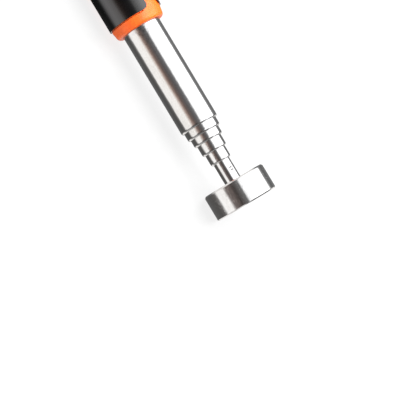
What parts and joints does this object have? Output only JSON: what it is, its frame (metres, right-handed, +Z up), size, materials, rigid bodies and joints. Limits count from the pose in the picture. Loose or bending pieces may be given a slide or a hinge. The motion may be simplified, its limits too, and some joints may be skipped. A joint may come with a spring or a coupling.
{
  "type": "telescoping magnetic pick-up tool",
  "caption": "Telescoping chrome pick-up tool with a two-colour grip handle, nested sliding tubes and a round magnet head.",
  "frame": {"origin": "on the table below the middle of the closed tool, which lies level on the edges of its grip panels and on its magnet cup", "axes": "+X along the tool from the hanging hole to the magnet face, +Z up through one of the two bare stripes of the handle, +Y to the tool's left"},
  "size_m": [0.1704, 0.0176, 0.017],
  "materials": {
    "orange_plastic": "moulded, semi-gloss",
    "grip_rubber": "moulded, satin",
    "tube_chrome": "polished plating",
    "cup_chrome": "turned and plated",
    "magnet_nickel": "nickel plating, satin",
    "shim_brass": "rolled sheet",
    "turned_steel": "turned",
    "potting_resin": "cast"
  },
  "bodies": {
    "handle": {"end_cap": "orange_plastic", "handle_core": "orange_plastic", "grip_left": "grip_rubber", "grip_right": "grip_rubber", "base_plug": "turned_steel", "main_tube": "tube_chrome"},
    "shims_2": {"shim_2_upper": "shim_brass", "shim_2_lower": "shim_brass"},
    "tube_2": {"section_2": "tube_chrome"},
    "shims_3": {"shim_3_upper": "shim_brass", "shim_3_lower": "shim_brass"},
    "tube_3": {"section_3": "tube_chrome"},
    "shims_4": {"shim_4_upper": "shim_brass", "shim_4_lower": "shim_brass"},
    "tube_4": {"section_4": "tube_chrome"},
    "shims_5": {"shim_5_upper": "shim_brass", "shim_5_lower": "shim_brass"},
    "tube_5": {"section_5": "tube_chrome"},
    "shims_6": {"shim_6_upper": "shim_brass", "shim_6_lower": "shim_brass"},
    "head": {"section_6": "tube_chrome", "head_stud": "turned_steel", "magnet_cup": "cup_chrome", "resin_ring": "potting_resin", "magnet": "magnet_nickel"}
  },
  "joints": [
    {"name": "slide_2", "type": "slide", "parent": "handle", "child": "shims_2", "axis": [1, 0, 0], "range_m": [0, 0.11]},
    {"name": "spin_2", "type": "hinge", "parent": "shims_2", "child": "tube_2", "pos_m": [0, 0, 0.0085], "axis": [1, 0, 0], "continuous": true},
    {"name": "slide_3", "type": "slide", "parent": "tube_2", "child": "shims_3", "axis": [1, 0, 0], "range_m": [0, 0.111]},
    {"name": "spin_3", "type": "hinge", "parent": "shims_3", "child": "tube_3", "pos_m": [0, 0, 0.0085], "axis": [1, 0, 0], "continuous": true},
    {"name": "slide_4", "type": "slide", "parent": "tube_3", "child": "shims_4", "axis": [1, 0, 0], "range_m": [0, 0.112]},
    {"name": "spin_4", "type": "hinge", "parent": "shims_4", "child": "tube_4", "pos_m": [0, 0, 0.0085], "axis": [1, 0, 0], "continuous": true},
    {"name": "slide_5", "type": "slide", "parent": "tube_4", "child": "shims_5", "axis": [1, 0, 0], "range_m": [0, 0.114]},
    {"name": "spin_5", "type": "hinge", "parent": "shims_5", "child": "tube_5", "pos_m": [0, 0, 0.0085], "axis": [1, 0, 0], "continuous": true},
    {"name": "slide_6", "type": "slide", "parent": "tube_5", "child": "shims_6", "axis": [1, 0, 0], "range_m": [0, 0.116]},
    {"name": "spin_6", "type": "hinge", "parent": "shims_6", "child": "head", "pos_m": [0, 0, 0.0085], "axis": [1, 0, 0], "continuous": true}
  ]
}
